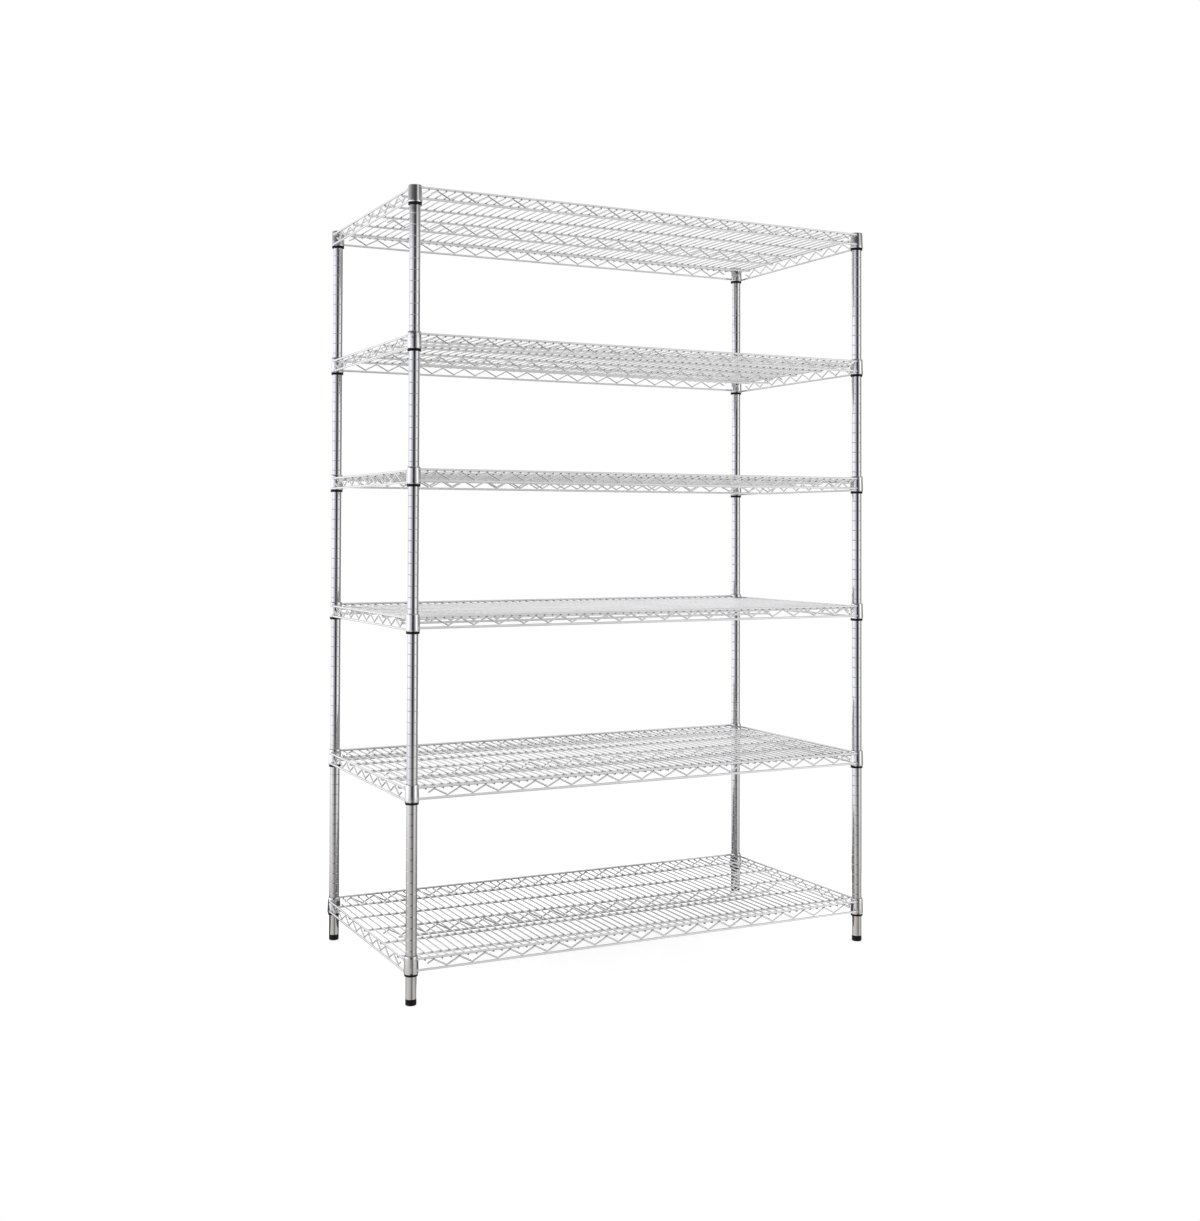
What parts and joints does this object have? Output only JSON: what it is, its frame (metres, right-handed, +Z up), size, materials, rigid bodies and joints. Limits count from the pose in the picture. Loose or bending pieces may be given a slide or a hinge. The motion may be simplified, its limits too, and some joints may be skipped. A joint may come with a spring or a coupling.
{
  "type": "wire shelving rack",
  "caption": "Free-standing wire shelving rack: round grooved posts on levelling feet carry welded wire shelves on tapered sleeves.",
  "frame": {"origin": "centre of the rack's footprint on the floor, under the feet", "axes": "+Z up along the posts, X along the shelves' long side, Y from the front (-Y) to the back (+Y) along their short side"},
  "size_m": [1.2486, 0.6296, 1.8374],
  "materials": {
    "chrome": "polished, with a faint blue tint",
    "black_plastic": "moulded, semi-matte",
    "zinc_steel": "zinc plated"
  },
  "bodies": {
    "root": {"post_front_left": "chrome", "post_cap_front_left": "black_plastic", "foot_insert_front_left": "black_plastic", "post_front_right": "chrome", "post_cap_front_right": "black_plastic", "foot_insert_front_right": "black_plastic", "post_back_left": "chrome", "post_cap_back_left": "black_plastic", "foot_insert_back_left": "black_plastic", "post_back_right": "chrome", "post_cap_back_right": "black_plastic", "foot_insert_back_right": "black_plastic"},
    "sleeves_1": {"sleeve_1_front_left": "black_plastic", "sleeve_1_front_right": "black_plastic", "sleeve_1_back_left": "black_plastic", "sleeve_1_back_right": "black_plastic"},
    "shelf_1": {"shelf_1": "chrome"},
    "sleeves_2": {"sleeve_2_front_left": "black_plastic", "sleeve_2_front_right": "black_plastic", "sleeve_2_back_left": "black_plastic", "sleeve_2_back_right": "black_plastic"},
    "shelf_2": {"shelf_2": "chrome"},
    "sleeves_3": {"sleeve_3_front_left": "black_plastic", "sleeve_3_front_right": "black_plastic", "sleeve_3_back_left": "black_plastic", "sleeve_3_back_right": "black_plastic"},
    "shelf_3": {"shelf_3": "chrome"},
    "sleeves_4": {"sleeve_4_front_left": "black_plastic", "sleeve_4_front_right": "black_plastic", "sleeve_4_back_left": "black_plastic", "sleeve_4_back_right": "black_plastic"},
    "shelf_4": {"shelf_4": "chrome"},
    "sleeves_5": {"sleeve_5_front_left": "black_plastic", "sleeve_5_front_right": "black_plastic", "sleeve_5_back_left": "black_plastic", "sleeve_5_back_right": "black_plastic"},
    "shelf_5": {"shelf_5": "chrome"},
    "sleeves_6": {"sleeve_6_front_left": "black_plastic", "sleeve_6_front_right": "black_plastic", "sleeve_6_back_left": "black_plastic", "sleeve_6_back_right": "black_plastic"},
    "shelf_6": {"shelf_6": "chrome"},
    "foot_front_left": {"foot_stud_front_left": "zinc_steel", "foot_pad_front_left": "black_plastic"},
    "foot_front_right": {"foot_stud_front_right": "zinc_steel", "foot_pad_front_right": "black_plastic"},
    "foot_back_left": {"foot_stud_back_left": "zinc_steel", "foot_pad_back_left": "black_plastic"},
    "foot_back_right": {"foot_stud_back_right": "zinc_steel", "foot_pad_back_right": "black_plastic"}
  },
  "joints": [
    {"name": "shelf_1_height", "type": "slide", "parent": "root", "child": "sleeves_1", "axis": [0, 0, 1], "range_m": [0, 0.1016]},
    {"name": "shelf_1_lift", "type": "slide", "parent": "sleeves_1", "child": "shelf_1", "axis": [0, 0, 1], "range_m": [0, 0.0508]},
    {"name": "shelf_2_height", "type": "slide", "parent": "root", "child": "sleeves_2", "axis": [0, 0, 1], "range_m": [-0.1016, 0.1016]},
    {"name": "shelf_2_lift", "type": "slide", "parent": "sleeves_2", "child": "shelf_2", "axis": [0, 0, 1], "range_m": [0, 0.0508]},
    {"name": "shelf_3_height", "type": "slide", "parent": "root", "child": "sleeves_3", "axis": [0, 0, 1], "range_m": [-0.1016, 0.1016]},
    {"name": "shelf_3_lift", "type": "slide", "parent": "sleeves_3", "child": "shelf_3", "axis": [0, 0, 1], "range_m": [0, 0.0508]},
    {"name": "shelf_4_height", "type": "slide", "parent": "root", "child": "sleeves_4", "axis": [0, 0, 1], "range_m": [-0.1016, 0.1016]},
    {"name": "shelf_4_lift", "type": "slide", "parent": "sleeves_4", "child": "shelf_4", "axis": [0, 0, 1], "range_m": [0, 0.0508]},
    {"name": "shelf_5_height", "type": "slide", "parent": "root", "child": "sleeves_5", "axis": [0, 0, 1], "range_m": [-0.1016, 0.1016]},
    {"name": "shelf_5_lift", "type": "slide", "parent": "sleeves_5", "child": "shelf_5", "axis": [0, 0, 1], "range_m": [0, 0.0508]},
    {"name": "shelf_6_height", "type": "slide", "parent": "root", "child": "sleeves_6", "axis": [0, 0, 1], "range_m": [-0.1016, 0]},
    {"name": "shelf_6_lift", "type": "slide", "parent": "sleeves_6", "child": "shelf_6", "axis": [0, 0, 1], "range_m": [0, 0.0508]},
    {"name": "foot_front_left_level", "type": "slide", "parent": "root", "child": "foot_front_left", "axis": [0, 0, -1], "range_m": [0, 0.012]},
    {"name": "foot_front_right_level", "type": "slide", "parent": "root", "child": "foot_front_right", "axis": [0, 0, -1], "range_m": [0, 0.012]},
    {"name": "foot_back_left_level", "type": "slide", "parent": "root", "child": "foot_back_left", "axis": [0, 0, -1], "range_m": [0, 0.012]},
    {"name": "foot_back_right_level", "type": "slide", "parent": "root", "child": "foot_back_right", "axis": [0, 0, -1], "range_m": [0, 0.012]}
  ]
}
